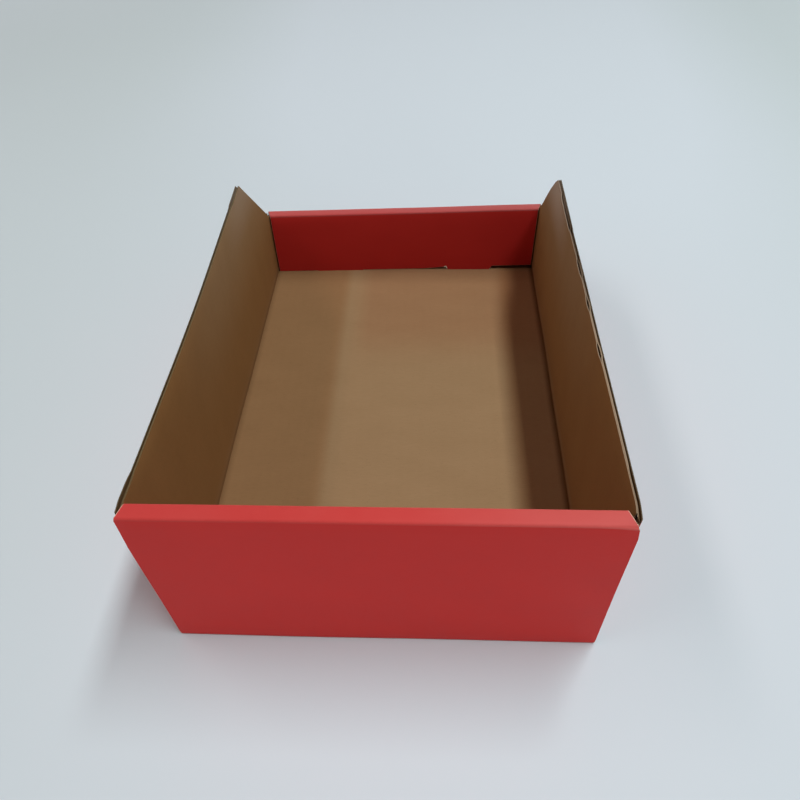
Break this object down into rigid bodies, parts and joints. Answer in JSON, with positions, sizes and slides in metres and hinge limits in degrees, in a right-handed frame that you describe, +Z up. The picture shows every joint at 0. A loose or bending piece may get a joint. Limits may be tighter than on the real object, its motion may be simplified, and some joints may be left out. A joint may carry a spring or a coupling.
{
  "type": "cardboard storage bin",
  "caption": "Open-top corrugated storage bin folded from one blank, with rolled end walls and a low front lip for reaching in from a shelf.",
  "frame": {"origin": "middle of the base, on the surface that the bin stands on", "axes": "+Z up; +Y towards the low lip, so the tall end wall faces -Y; +X to the right when looking from the tall end towards the lip"},
  "size_m": [0.203, 0.305, 0.104],
  "materials": {
    "corrugated_board": "uncoated brown kraft liner, fibres and faint flute lines, seen on the inside of the base and side walls and at every cut edge",
    "printed_liner": "red printed liner with a low satin sheen, on the whole outside, both rims and the inner panels of both end walls"
  },
  "bodies": {
    "root": {"folded_bin": "corrugated_board"}
  },
  "joints": []
}
